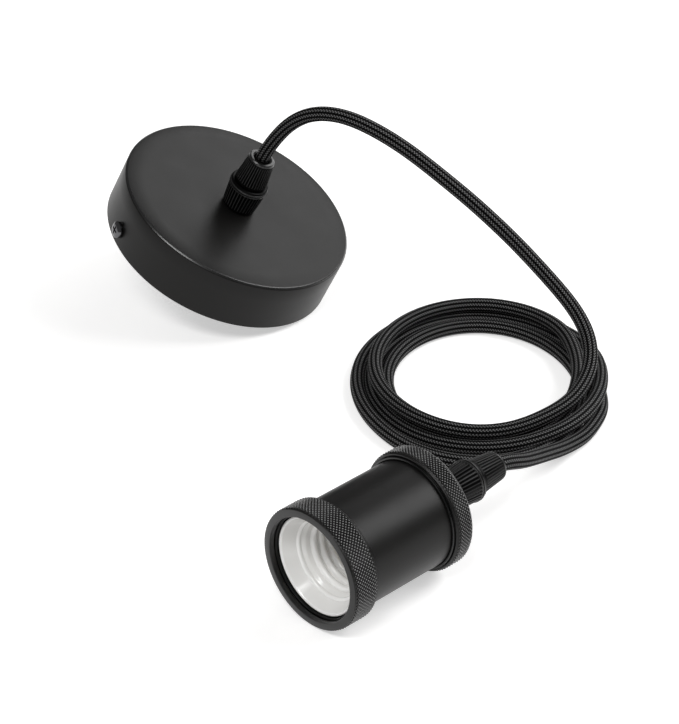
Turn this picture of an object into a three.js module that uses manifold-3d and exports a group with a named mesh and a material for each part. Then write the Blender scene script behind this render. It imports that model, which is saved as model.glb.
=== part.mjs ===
// Pendant cord set: a round ceiling canopy, a braided cord and a knurled lamp holder with a white socket.
// Millimetres, +Z up, the floor at z = 0. The holder lies along +Y, the canopy leans on its low rim.
import * as THREE from 'three';
import { mergeVertices } from 'three/addons/utils/BufferGeometryUtils.js';
import Module from 'manifold-3d';

const wasm = await Module();
wasm.setup();

// Fits and fineness
const GAP = 0.3;
const FINE_SIDES = 48;
const SCREW_SIDES = 12;
const WIRE_SIDES = 8;
const CORD_SIDES = 10;

// Where the pieces lie on the floor
const HOLDER_X = 111.04;
const HOLDER_FRONT_Y = -94.42;
const CANOPY_X = -88.4;
const CANOPY_Y = 41.3;
const CANOPY_TILT = THREE.MathUtils.degToRad(25.45);
const CANOPY_HEADING = THREE.MathUtils.degToRad(24.45);

// Canopy cup
const CANOPY_RADIUS = 50;
const CANOPY_HEIGHT = 22.8;
const CANOPY_WALL = 1;
const CANOPY_EDGE = 0.8;
const SIDE_SCREW_HEIGHT = 6;
const SIDE_SCREW_ANGLE = THREE.MathUtils.degToRad(48);

// Ceiling bracket inside the canopy
const BRACKET_WIDTH = 16;
const BRACKET_THICK = 1.5;
const BRACKET_TAB_HEIGHT = 12;
const SLOT_WIDTH = 4.5;
const SLOT_LENGTH = 10;
const SLOT_OFFSET = 34;
const EARTH_SCREW_X = 16;

// Screws: shank radius, head radius and head height
const SIDE_SCREW = { shank: 1.85, head: 3.5, headHeight: 1.9, length: 9.5 };
const EARTH_SCREW = { shank: 1.5, head: 2.9, headHeight: 1.8 };
const BLOCK_SCREW = { shank: 1.2, head: 2.2, headHeight: 1.3 };
const POLE_SCREW = { shank: 1.2, head: 1.2, headHeight: 0.6 };
const BASE_SCREW = { shank: 1.3, head: 2.6, headHeight: 1.7 };
const TERMINAL_SCREW = { shank: 1.5, head: 2.9, headHeight: 1.8 };

// Terminal block on the bracket
const BLOCK_X = -18;
const BLOCK_LENGTH = 13;
const BLOCK_WIDTH = 22;
const BLOCK_HEIGHT = 9.2;
const POLE_OFFSET = 6.5;
const POLE_BORE = 1.4;
const POLE_WALL = 0.7;
const POLE_SCREW_OFFSET = 3.4;

// Cord and its grips
const CORD_RADIUS = 3;
const CORD_PLAY = 0.35;
const WIRE_RADIUS = 1;
const GRIP_FLUTES = 16;
const COLLAR_HEIGHT = 13;
const COLLAR_FOOT_RADIUS = 7.2;
const COLLAR_TOP_RADIUS = 8.2;
const SOCKET_RADIUS = 6.3;
const SOCKET_FLOOR = 2;
const SLEEVE_HEIGHT = 5.9;
const GRIP_CAP_HEIGHT = 13;
const GRIP_CAP_FOOT_RADIUS = 6.9;
const GRIP_CAP_MOUTH_RADIUS = 5.7;
const SHANK_RADIUS = 4.95;
const SHANK_LENGTH = 7.5;
const FLUTE_DEPTH = 0.35;
const NUT_FLATS = 14;
const NUT_HEIGHT = 3;
const WASHER_RADIUS = 8;
const WASHER_THICK = 0.8;
const STUB_BELOW_SHANK = 2;

// Lamp holder, measured along its axis from the front ring's face
const SHELL_RADIUS = 20.8;
const SHELL_WALL = 1.4;
const RING_WALL = 2.2;
const RING_RADIUS = SHELL_RADIUS + GAP + RING_WALL;
const RING_LENGTH = 12;
const RING_LIP = 2;
const RING_LIP_REACH = 1.1;
const RING_OPENING = SHELL_RADIUS + GAP - RING_LIP_REACH;
const RING_BAND = 8.8;
const RING_BACK_RADIUS = SHELL_RADIUS + GAP + 0.6;
const CAP_FRONT = 49.4;
const CAP_BAND = 8.1;
const CAP_PLATE = 2;
const CAP_PLATE_BACK = 58.7;
const CAP_CHAMFER = 1.2;
const CAP_EDGE_RADIUS = RING_RADIUS - CAP_CHAMFER;
const NECK_FOOT_RADIUS = 13;
const NECK_TOP_RADIUS = 9;
const NECK_BACK = 68;
const NECK_PLATE = 2.2;

// White socket insert
const INSERT_FRONT = 3.3;
const INSERT_RIM_WALL = 1.1;
const MOUTH_STEP_AT = 8.9;
const MOUTH_STEP_RADIUS = 14.9;
const BORE_RADIUS = 13.5;
const BORE_AT = 9.8;
const THREAD_PITCH = 3.63;
const THREAD_TURNS = 4;
const THREAD_SINK = 0.2;
const THREAD_RIDGE = 1.35;
const THREAD_STEPS_PER_TURN = 14;
const INSERT_FLOOR_AT = 33;
const INSERT_FLOOR = 3;
const WINDOW_WIDTH = 9;
const BASE_LENGTH = 9;
const TERMINAL_X = 9;
const CONTACT_THICK = 0.6;
const CONTACT_WIDTH = 7;
const PORT_OFFSET = 5.6;

// Coil of cord on the floor
const COIL_X = 45.4;
const COIL_Y = 62.1;
const COIL_HEADING = THREE.MathUtils.degToRad(46);
const COIL_RADIUS = 43;
const COIL_EXTRA_LENGTH = 6.5;
const COIL_BAND = 18;
const COIL_HEIGHT = 12;
const COIL_CORNER = 3;

const { sin, cos, PI } = Math;
const v2 = (x, y) => new THREE.Vector2(x, y);
const v3 = (x, y, z) => new THREE.Vector3(x, y, z);

// A turned solid about +Z. The profile's [radius, height] pairs run anticlockwise.
function turned(profile, sides = FINE_SIDES) {
  const points = profile.map(([radius, height]) => v2(radius, height));
  const open = profile[0][0] === 0 && profile.at(-1)[0] === 0;
  if (!open) points.push(points[0].clone());
  return new THREE.LatheGeometry(points, sides).rotateX(PI / 2);
}

function rod(radius, from, to, sides = SCREW_SIDES) {
  const shape = new THREE.CylinderGeometry(radius, radius, to - from, sides).rotateX(PI / 2);
  return shape.translate(0, 0, (from + to) / 2);
}

function block(width, depth, from, to) {
  return new THREE.BoxGeometry(width, depth, to - from).translate(0, 0, (from + to) / 2);
}

// A closed mesh as a solid that can be joined and cut
function toSolid(geometry) {
  const bare = geometry.clone();
  bare.deleteAttribute('normal');
  bare.deleteAttribute('uv');
  const merged = mergeVertices(bare, 1e-4);
  const index = merged.index.array;
  const kept = [];
  for (let i = 0; i < index.length; i += 3) {
    const [a, b, c] = index.slice(i, i + 3);
    if (a !== b && b !== c && c !== a) kept.push(a, b, c);
  }
  const mesh = new wasm.Mesh({
    numProp: 3,
    vertProperties: Float32Array.from(merged.attributes.position.array),
    triVerts: Uint32Array.from(kept),
  });
  return new wasm.Manifold(mesh);
}

function toGeometry(solid) {
  const mesh = solid.getMesh();
  const geometry = new THREE.BufferGeometry();
  geometry.setAttribute('position', new THREE.BufferAttribute(mesh.vertProperties, 3));
  geometry.setIndex(new THREE.BufferAttribute(mesh.triVerts, 1));
  return geometry;
}

const cut = (body, ...tools) =>
  toGeometry(tools.reduce((solid, tool) => solid.subtract(toSolid(tool)), toSolid(body)));
const joined = (body, ...more) =>
  toGeometry(more.reduce((solid, piece) => solid.add(toSolid(piece)), toSolid(body)));

// A strip of sheet bent along a line in the XZ plane, as wide as given along Y
function bentStrip(line, thick, width) {
  const sides = [[], []];
  line.forEach(([x, z], i) => {
    const before = v2(...(line[i - 1] ?? line[i]));
    const after = v2(...(line[i + 1] ?? line[i]));
    const here = v2(x, z);
    const into = here.clone().sub(before).normalize();
    const out = after.clone().sub(here).normalize();
    if (i === 0) into.copy(out);
    if (i === line.length - 1) out.copy(into);
    const mitre = into.clone().add(out).normalize();
    const reach = thick / 2 / mitre.dot(into);
    const across = v2(-mitre.y, mitre.x).multiplyScalar(reach);
    sides[0].push(here.clone().add(across));
    sides[1].unshift(here.clone().sub(across));
  });
  const shape = new THREE.Shape([...sides[0], ...sides[1]]);
  const strip = new THREE.ExtrudeGeometry(shape, { depth: width, bevelEnabled: false });
  return strip.rotateX(PI / 2).translate(0, width / 2, 0);
}

// A round tube along a smooth line through the points
function tube(points, radius, sides, steps) {
  const corners = Array.from({ length: sides }, (_, i) => {
    const angle = (2 * PI * i) / sides;
    return v2(radius * cos(angle), radius * sin(angle));
  });
  const path = new THREE.CatmullRomCurve3(points.map((p) => v3(...p)));
  const options = { steps, extrudePath: path, bevelEnabled: false };
  return new THREE.ExtrudeGeometry(new THREE.Shape(corners), options);
}

// A screw along -Z: its head stands on z = 0, and a cross is cut into the head
function screw({ shank, head, headHeight }, length) {
  const profile = [
    [0, -length],
    [shank, -length],
    [shank, 0],
    [head, 0],
    [head, headHeight * 0.6],
    [head * 0.82, headHeight],
    [0, headHeight],
  ];
  const recess = headHeight * 0.5;
  const long = head * 1.1;
  const narrow = head * 0.26;
  const cross = [block(long, narrow, recess, headHeight + 1), block(narrow, long, recess, headHeight + 1)];
  return cut(turned(profile, SCREW_SIDES), ...cross);
}

// A terminal's screw with no head that is wider than its shank, slotted on top
function grubScrew({ shank }, length) {
  const slot = block(shank * 3, shank * 0.4, -shank * 0.5, 1);
  return cut(rod(shank, -length, 0), slot);
}

const PAINT = { color: 0x1b1c1e, roughness: 0.5, metalness: 0.2 };
const KNURLED = { color: 0x161719, roughness: 0.45, metalness: 0.3 };
const GRIP_BLACK = { color: 0x101113, roughness: 0.55, metalness: 0 };
const BRAID = { color: 0x121214, roughness: 0.9, metalness: 0 };
const WHITE = { color: 0xe9e8e4, roughness: 0.3, metalness: 0 };
const STEEL = { color: 0xb9bcc0, roughness: 0.35, metalness: 0.9 };
const BRASS = { color: 0xc9a554, roughness: 0.35, metalness: 0.9 };
const CLEAR_PLASTIC = { color: 0xdedcd2, roughness: 0.4, metalness: 0 };
const RUBBER = { color: 0x1c1c1c, roughness: 0.8, metalness: 0 };
const WIRE_COLOURS = {
  line: { color: 0x6b3d1e, roughness: 0.5, metalness: 0 },
  neutral: { color: 0x2a5db0, roughness: 0.5, metalness: 0 },
  earth: { color: 0x5fa63a, roughness: 0.5, metalness: 0 },
};

function piece(parent, name, geometry, finish) {
  const mesh = new THREE.Mesh(geometry, new THREE.MeshStandardMaterial(finish));
  mesh.name = name;
  parent.add(mesh);
  return mesh;
}

// Round canopy cup, open at its base, with a hole for the grip and two for the side screws
function canopyCup() {
  const inner = CANOPY_RADIUS - CANOPY_WALL;
  const hole = SHANK_RADIUS + GAP;
  const cup = turned([
    [inner, 0],
    [CANOPY_RADIUS, 0],
    [CANOPY_RADIUS, CANOPY_HEIGHT - CANOPY_EDGE],
    [CANOPY_RADIUS - CANOPY_EDGE * 0.3, CANOPY_HEIGHT - CANOPY_EDGE * 0.3],
    [CANOPY_RADIUS - CANOPY_EDGE, CANOPY_HEIGHT],
    [hole, CANOPY_HEIGHT],
    [hole, CANOPY_HEIGHT - CANOPY_WALL],
    [inner, CANOPY_HEIGHT - CANOPY_WALL],
  ]);
  const drill = rod(SIDE_SCREW.shank + GAP, -CANOPY_RADIUS - 2, CANOPY_RADIUS + 2)
    .rotateY(PI / 2)
    .translate(0, 0, SIDE_SCREW_HEIGHT)
    .rotateZ(SIDE_SCREW_ANGLE);
  return cut(cup, drill);
}

const TAB_FACE = Math.sqrt((CANOPY_RADIUS - CANOPY_WALL) ** 2 - (BRACKET_WIDTH / 2) ** 2) - GAP;
const STRIP_TOP = BRACKET_THICK;

// Steel strip with a turned-up tab at each end, slots for the ceiling screws and a hole for the mains
function bracket() {
  const line = [
    [-TAB_FACE + BRACKET_THICK / 2, BRACKET_TAB_HEIGHT],
    [-TAB_FACE + BRACKET_THICK / 2, BRACKET_THICK / 2],
    [TAB_FACE - BRACKET_THICK / 2, BRACKET_THICK / 2],
    [TAB_FACE - BRACKET_THICK / 2, BRACKET_TAB_HEIGHT],
  ];
  const slots = [-1, 1].map((side) => {
    const straight = SLOT_LENGTH - SLOT_WIDTH;
    const ends = [-1, 1].map((end) =>
      rod(SLOT_WIDTH / 2, -1, BRACKET_THICK + 1).translate((end * straight) / 2, 0, 0));
    const slot = joined(block(straight, SLOT_WIDTH, -1, BRACKET_THICK + 1), ...ends);
    return slot.translate(side * SLOT_OFFSET, 0, 0);
  });
  const holes = [
    rod(4, -1, BRACKET_THICK + 1),
    rod(EARTH_SCREW.shank + GAP, -1, BRACKET_THICK + 1).translate(EARTH_SCREW_X, 0, 0),
    rod(BLOCK_SCREW.shank + GAP, -1, BRACKET_THICK + 1).translate(BLOCK_X, 0, 0),
    rod(SIDE_SCREW.shank + GAP, -TAB_FACE - 1, TAB_FACE + 1).rotateY(PI / 2).translate(0, 0, SIDE_SCREW_HEIGHT),
  ];
  return cut(bentStrip(line, BRACKET_THICK, BRACKET_WIDTH), ...slots, ...holes);
}

const BLOCK_FLOOR = STRIP_TOP + GAP;
const BLOCK_TOP = BLOCK_FLOOR + BLOCK_HEIGHT;
const POLE_Z = BLOCK_FLOOR + 3.6;
const POLE_OUTSIDE = POLE_BORE + POLE_WALL;

// Two-pole terminal block: a plastic housing round two brass tubes
function blockHousing() {
  const bores = [];
  for (const side of [-1, 1]) {
    const pole = rod(POLE_OUTSIDE + GAP, -BLOCK_LENGTH, BLOCK_LENGTH).rotateY(PI / 2);
    bores.push(pole.translate(0, side * POLE_OFFSET, POLE_Z));
    for (const end of [-1, 1]) {
      const hole = rod(POLE_SCREW.shank + GAP, POLE_Z, BLOCK_TOP + 1);
      bores.push(hole.translate(end * POLE_SCREW_OFFSET, side * POLE_OFFSET, 0));
    }
  }
  bores.push(rod(BLOCK_SCREW.shank + GAP, 0, BLOCK_TOP + 1));
  const waist = block(BLOCK_LENGTH + 2, 1.6, BLOCK_TOP - 2.4, BLOCK_TOP + 1);
  const waists = [-1, 1].map((side) => waist.clone().translate(0, side * 3.2, 0));
  return cut(block(BLOCK_LENGTH, BLOCK_WIDTH, BLOCK_FLOOR, BLOCK_TOP), ...bores, ...waists);
}

function brassPole() {
  const half = BLOCK_LENGTH / 2 - GAP;
  const shell = rod(POLE_OUTSIDE, -half, half).rotateY(PI / 2);
  const bore = rod(POLE_BORE, -half - 1, half + 1).rotateY(PI / 2);
  const holes = [-1, 1].map((end) => rod(POLE_SCREW.shank + GAP, 0, POLE_OUTSIDE + 1).translate(end * POLE_SCREW_OFFSET, 0, 0));
  return cut(shell, bore, ...holes);
}

// Ring tongue with a short barrel that takes the earth conductor
const LUG_THICK = 0.8;
const LUG_REACH = 8;
const LUG_BARREL = WIRE_RADIUS + GAP + 0.5;
function earthLug(hole) {
  const eye = rod(hole + 1.6, 0, LUG_THICK);
  const tongue = block(4, 2.4, 0, LUG_THICK).translate(4, 0, 0);
  const barrel = rod(LUG_BARREL, 4.4, LUG_REACH).rotateY(PI / 2).translate(0, 0, LUG_BARREL);
  const bore = rod(WIRE_RADIUS + GAP, 5.2, LUG_REACH + 1).rotateY(PI / 2).translate(0, 0, LUG_BARREL);
  return cut(joined(eye, tongue, barrel), rod(hole, -1, LUG_THICK + 1), bore);
}

// Moves the outward vertices of every second column inwards, between two heights
function fluted(geometry, low, high, least) {
  const position = geometry.attributes.position;
  for (let i = 0; i < position.count; i += 1) {
    const [x, y, z] = [position.getX(i), position.getY(i), position.getZ(i)];
    const radius = Math.hypot(x, y);
    const column = Math.round((Math.atan2(y, x) / (2 * PI)) * 2 * GRIP_FLUTES + 2 * GRIP_FLUTES);
    if (z > low && z < high && radius > least && column % 2) {
      const share = (radius - FLUTE_DEPTH) / radius;
      position.setXY(i, x * share, y * share);
    }
  }
  return geometry;
}

const CORD_BORE = CORD_RADIUS + CORD_PLAY;
const GRIP_HEIGHT = COLLAR_HEIGHT + GAP + GRIP_CAP_HEIGHT;
const SLEEVE_FLOOR = SOCKET_FLOOR + GAP;
const NECK_FLOOR = SLEEVE_FLOOR + SLEEVE_HEIGHT + GAP;
const COLLAR_BAND_TOP = COLLAR_HEIGHT - 2.4;

// Threaded shank and fluted collar in one, with a socket for the clamping sleeve
function gripBody() {
  const body = turned([
    [CORD_BORE, -SHANK_LENGTH],
    [SHANK_RADIUS, -SHANK_LENGTH],
    [SHANK_RADIUS, 0],
    [COLLAR_FOOT_RADIUS - 0.4, 0],
    [COLLAR_FOOT_RADIUS, 0.8],
    [COLLAR_TOP_RADIUS, COLLAR_BAND_TOP],
    [COLLAR_TOP_RADIUS - 0.45, COLLAR_BAND_TOP + 0.4],
    [COLLAR_TOP_RADIUS, COLLAR_BAND_TOP + 0.9],
    [COLLAR_TOP_RADIUS, COLLAR_HEIGHT - 0.5],
    [COLLAR_TOP_RADIUS - 0.5, COLLAR_HEIGHT],
    [SOCKET_RADIUS, COLLAR_HEIGHT],
    [SOCKET_RADIUS, SOCKET_FLOOR],
    [CORD_BORE, SOCKET_FLOOR],
  ], 2 * GRIP_FLUTES);
  return fluted(body, 0.5, COLLAR_BAND_TOP + 0.1, SOCKET_RADIUS + 0.1);
}

// Split rubber sleeve that the cap squeezes round the cord
function gripSleeve() {
  const outer = SOCKET_RADIUS - GAP;
  const sleeve = turned([
    [CORD_BORE, SLEEVE_FLOOR],
    [outer, SLEEVE_FLOOR],
    [outer, SLEEVE_FLOOR + SLEEVE_HEIGHT],
    [CORD_BORE, SLEEVE_FLOOR + SLEEVE_HEIGHT],
  ], 24);
  const slit = block(2 * outer, 1, SLEEVE_FLOOR - 1, SLEEVE_FLOOR + SLEEVE_HEIGHT + 1).translate(outer, 0, 0);
  return cut(sleeve, slit);
}

// Ribbed cap whose neck goes down into the collar
function gripCap() {
  const foot = COLLAR_HEIGHT + GAP;
  const cap = turned([
    [CORD_BORE, NECK_FLOOR],
    [SOCKET_RADIUS - GAP, NECK_FLOOR],
    [SOCKET_RADIUS - GAP, foot],
    [GRIP_CAP_FOOT_RADIUS, foot],
    [GRIP_CAP_FOOT_RADIUS, foot + 1.2],
    [GRIP_CAP_MOUTH_RADIUS, GRIP_HEIGHT - 0.9],
    [GRIP_CAP_MOUTH_RADIUS - 0.6, GRIP_HEIGHT],
    [CORD_BORE + 0.9, GRIP_HEIGHT],
    [CORD_BORE, GRIP_HEIGHT - 0.9],
  ], 2 * GRIP_FLUTES);
  return fluted(cap, foot + 0.5, GRIP_HEIGHT - 0.5, GRIP_CAP_MOUTH_RADIUS - 0.4);
}

// The end of the cord inside the grip, up to the mouth
function cordStub() {
  return rod(CORD_RADIUS, -SHANK_LENGTH - STUB_BELOW_SHANK, GRIP_HEIGHT, CORD_SIDES);
}

function addGrip(parent, prefix, at) {
  const grip = new THREE.Group();
  grip.position.z = at;
  piece(grip, `${prefix}_grip_body`, gripBody(), GRIP_BLACK);
  piece(grip, `${prefix}_grip_sleeve`, gripSleeve(), RUBBER);
  piece(grip, `${prefix}_grip_cap`, gripCap(), GRIP_BLACK);
  piece(grip, `${prefix}_cord_end`, cordStub(), BRAID);
  parent.add(grip);
}

function lockNut(top) {
  const hex = rod(NUT_FLATS / Math.sqrt(3), top - NUT_HEIGHT, top, 6);
  return cut(hex, rod(SHANK_RADIUS + GAP, top - NUT_HEIGHT - 1, top + 1, 24));
}

function washer(top) {
  const bore = SHANK_RADIUS + GAP;
  return turned([[bore, top - WASHER_THICK], [WASHER_RADIUS, top - WASHER_THICK], [WASHER_RADIUS, top], [bore, top]], 24);
}

// A conductor from the end of the cord to where it is clamped
function conductor(points) {
  return tube(points, WIRE_RADIUS, WIRE_SIDES, 10);
}

function addCanopy(parent) {
  const canopy = new THREE.Group();
  canopy.rotation.set(0, CANOPY_TILT, CANOPY_HEADING, 'ZYX');
  canopy.position.set(CANOPY_X, CANOPY_Y, CANOPY_RADIUS * sin(CANOPY_TILT));
  piece(canopy, 'canopy_cup', canopyCup(), PAINT);
  const gripAt = CANOPY_HEIGHT + GAP;
  addGrip(canopy, 'canopy', gripAt);
  const washerTop = CANOPY_HEIGHT - CANOPY_WALL - GAP;
  piece(canopy, 'canopy_lock_washer', washer(washerTop), STEEL);
  piece(canopy, 'canopy_lock_nut', lockNut(washerTop - WASHER_THICK - GAP), STEEL);

  const strip = new THREE.Group();
  strip.rotation.z = SIDE_SCREW_ANGLE;
  piece(strip, 'ceiling_bracket', bracket(), STEEL);
  ['side_screw_a', 'side_screw_b'].forEach((name, i) => {
    const turn = i ? -PI / 2 : PI / 2;
    const mesh = piece(strip, name, screw(SIDE_SCREW, SIDE_SCREW.length).rotateY(turn), STEEL);
    mesh.position.set((i ? -1 : 1) * (CANOPY_RADIUS + GAP), 0, SIDE_SCREW_HEIGHT);
  });
  addTerminalBlock(strip);
  addCanopyWires(strip, gripAt - SHANK_LENGTH - STUB_BELOW_SHANK - GAP);
  canopy.add(strip);
  parent.add(canopy);
}

function addTerminalBlock(strip) {
  piece(strip, 'terminal_block', blockHousing(), CLEAR_PLASTIC).position.x = BLOCK_X;
  const blockScrew = screw(BLOCK_SCREW, BLOCK_TOP + GAP - BRACKET_THICK / 2);
  piece(strip, 'terminal_block_screw', blockScrew, STEEL).position.set(BLOCK_X, 0, BLOCK_TOP + GAP);
  for (const [name, side] of [['line', 1], ['neutral', -1]]) {
    piece(strip, `terminal_pole_${name}`, brassPole(), BRASS).position.set(BLOCK_X, side * POLE_OFFSET, POLE_Z);
    for (const [place, end] of [['mains', -1], ['cord', 1]]) {
      const length = BLOCK_TOP - GAP - POLE_Z - WIRE_RADIUS - GAP;
      const mesh = piece(strip, `terminal_screw_${name}_${place}`, grubScrew(POLE_SCREW, length), STEEL);
      mesh.position.set(BLOCK_X + end * POLE_SCREW_OFFSET, side * POLE_OFFSET, BLOCK_TOP - GAP);
    }
  }
}

function addCanopyWires(strip, from) {
  const port = BLOCK_X + BLOCK_LENGTH / 2;
  const spread = CORD_RADIUS * 0.5;
  for (const [name, side] of [['line', 1], ['neutral', -1]]) {
    const route = [
      [-spread * 0.5, side * spread, from],
      [-spread * 0.6, side * spread, from - 2.5],
      [-3, side * POLE_OFFSET * 0.6, POLE_Z + 2],
      [port + 3.5, side * POLE_OFFSET * 0.95, POLE_Z],
      [port, side * POLE_OFFSET, POLE_Z],
      [port - 4.5, side * POLE_OFFSET, POLE_Z],
    ];
    piece(strip, `canopy_wire_${name}`, conductor(route), WIRE_COLOURS[name]);
  }
  const lugBase = STRIP_TOP + GAP;
  const lugMouth = EARTH_SCREW_X - LUG_REACH;
  const wireZ = lugBase + LUG_BARREL;
  const lug = piece(strip, 'canopy_earth_lug', earthLug(EARTH_SCREW.shank + GAP).rotateZ(PI), BRASS);
  lug.position.set(EARTH_SCREW_X, 0, lugBase);
  const headAt = lugBase + LUG_THICK + GAP;
  piece(strip, 'canopy_earth_screw', screw(EARTH_SCREW, headAt - 0.2), STEEL).position.set(EARTH_SCREW_X, 0, headAt);
  const route = [
    [spread, 0, from],
    [spread + 0.3, 0, from - 3],
    [lugMouth - 4, 0, wireZ + 3.5],
    [lugMouth - 0.6, 0, wireZ + 0.2],
    [lugMouth + 2, 0, wireZ],
  ];
  piece(strip, 'canopy_wire_earth', conductor(route), WIRE_COLOURS.earth);
}

// Front ring that screws over the shell's mouth and holds a shade
function shadeRing() {
  const bore = SHELL_RADIUS + GAP;
  return turned([
    [RING_OPENING + 0.3, 0],
    [RING_RADIUS - 0.6, 0],
    [RING_RADIUS, 0.6],
    [RING_RADIUS, RING_BAND],
    [RING_RADIUS - 0.4, RING_BAND + 0.3],
    [RING_BACK_RADIUS, RING_LENGTH],
    [bore, RING_LENGTH],
    [bore, RING_LIP],
    [RING_OPENING, RING_LIP],
    [RING_OPENING, 0.3],
  ]);
}

const SHELL_BORE = SHELL_RADIUS - SHELL_WALL;
const SHELL_FRONT = RING_LIP + GAP;
const SHELL_BACK = CAP_PLATE_BACK - CAP_PLATE - GAP;
function holderShell() {
  return turned([
    [SHELL_BORE, SHELL_FRONT],
    [SHELL_RADIUS, SHELL_FRONT],
    [SHELL_RADIUS, SHELL_BACK],
    [SHELL_BORE, SHELL_BACK],
  ]);
}

// Rear cap: a knurled skirt over the shell, a plate and a domed neck with the threaded hole for the grip
function rearCap() {
  const bore = SHELL_RADIUS + GAP;
  const hole = SHANK_RADIUS + GAP;
  const bandEnd = CAP_FRONT + CAP_BAND;
  const plateFront = CAP_PLATE_BACK - CAP_PLATE;
  const inside = NECK_FOOT_RADIUS - CAP_PLATE;
  const dome = (NECK_FOOT_RADIUS + NECK_TOP_RADIUS) / 2 + 0.8;
  const middle = (CAP_PLATE_BACK + NECK_BACK) / 2;
  return cut(turned([
    [bore, CAP_FRONT],
    [SHELL_RADIUS + 1.5, CAP_FRONT],
    [RING_RADIUS - 0.3, CAP_FRONT + 0.4],
    [RING_RADIUS, CAP_FRONT + 0.9],
    [RING_RADIUS, bandEnd],
    [CAP_EDGE_RADIUS, CAP_PLATE_BACK],
    [NECK_FOOT_RADIUS, CAP_PLATE_BACK],
    [dome, middle],
    [NECK_TOP_RADIUS, NECK_BACK],
    [hole, NECK_BACK],
    [hole, NECK_BACK - NECK_PLATE],
    [NECK_TOP_RADIUS - CAP_PLATE, NECK_BACK - NECK_PLATE],
    [inside, plateFront],
    [bore, plateFront],
  ]), rod(EARTH_SCREW.shank + GAP, plateFront - 1, plateFront + 1.6).translate(0, HOLDER_EARTH_Y, 0));
}

const INSERT_RADIUS = SHELL_BORE - GAP;
const INSERT_BACK = INSERT_FLOOR_AT + INSERT_FLOOR;
const BASE_SCREW_Y = INSERT_RADIUS - BASE_SCREW.head - 1;
const HOLDER_EARTH_Y = -(NECK_FOOT_RADIUS - CAP_PLATE + SHELL_BORE) / 2;

// The screw thread inside the socket is a round ridge wound along the bore
function threadRidge() {
  const middle = BORE_RADIUS - THREAD_SINK + THREAD_RIDGE - 1.15;
  const steps = Math.round(THREAD_TURNS * THREAD_STEPS_PER_TURN);
  const start = BORE_AT + THREAD_RIDGE + 0.4;
  const points = Array.from({ length: steps + 1 }, (_, i) => {
    const angle = (2 * PI * i) / THREAD_STEPS_PER_TURN;
    return [middle * cos(angle), middle * sin(angle), start + (THREAD_PITCH * i) / THREAD_STEPS_PER_TURN];
  });
  return tube(points, THREAD_RIDGE, 6, steps);
}

// White socket insert: flared mouth, step, threaded bore, and a floor with a window for the contacts
function socketInsert() {
  const body = turned([
    [0, INSERT_FLOOR_AT],
    [BORE_RADIUS, INSERT_FLOOR_AT],
    [BORE_RADIUS, BORE_AT],
    [MOUTH_STEP_RADIUS - 0.5, BORE_AT - 0.6],
    [MOUTH_STEP_RADIUS, MOUTH_STEP_AT],
    [INSERT_RADIUS - INSERT_RIM_WALL, INSERT_FRONT + 0.5],
    [INSERT_RADIUS - INSERT_RIM_WALL * 0.5, INSERT_FRONT],
    [INSERT_RADIUS, INSERT_FRONT + 0.5],
    [INSERT_RADIUS, INSERT_BACK],
    [0, INSERT_BACK],
  ], 36);
  const window = block(2 * BORE_RADIUS - 1, WINDOW_WIDTH, INSERT_FLOOR_AT - 1, INSERT_BACK + 1);
  const screwHoles = [-1, 1].map((side) =>
    rod(BASE_SCREW.shank + GAP, INSERT_BACK - 5, INSERT_BACK + 1).translate(0, side * BASE_SCREW_Y, 0));
  const cutter = [window, ...screwHoles].map(toSolid);
  const solid = toSolid(body).add(toSolid(threadRidge()));
  return toGeometry(cutter.reduce((rest, tool) => rest.subtract(tool), solid));
}

const BASE_FRONT = INSERT_BACK + GAP;
const BASE_BACK = BASE_FRONT + BASE_LENGTH;
const CONTACT_Z = BASE_FRONT - GAP - CONTACT_THICK / 2;

// Insulating base behind the socket, with a wire port beside each terminal screw
function contactBase() {
  const holes = [];
  for (const side of [-1, 1]) {
    holes.push(rod(TERMINAL_SCREW.shank + GAP, BASE_FRONT - 1, BASE_BACK + 1).translate(side * TERMINAL_X, 0, 0));
    holes.push(rod(POLE_BORE, BASE_BACK - 6, BASE_BACK + 1).translate(side * TERMINAL_X, PORT_OFFSET, 0));
    holes.push(rod(BASE_SCREW.shank + GAP, BASE_FRONT - 1, BASE_BACK + 1).translate(0, side * BASE_SCREW_Y, 0));
  }
  return cut(rod(INSERT_RADIUS, BASE_FRONT, BASE_BACK, 36), ...holes);
}

// Spring tongue that meets the bulb's centre contact
function centreContact() {
  const line = [
    [TERMINAL_X + 3, CONTACT_Z],
    [5, CONTACT_Z],
    [-1.5, CONTACT_Z - 4.6],
    [-4, CONTACT_Z - 3.6],
  ];
  return bentStrip(line, CONTACT_THICK, CONTACT_WIDTH);
}

// Spring tongue at the side of the bore that meets the bulb's threaded shell
function sideContact() {
  const line = [
    [-TERMINAL_X + 2.5, CONTACT_Z],
    [-BORE_RADIUS + 1.8, CONTACT_Z],
    [-BORE_RADIUS + 1.4, CONTACT_Z - 4.8],
    [-BORE_RADIUS + 2.6, CONTACT_Z - 6.2],
  ];
  return bentStrip(line, CONTACT_THICK, CONTACT_WIDTH);
}

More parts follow.
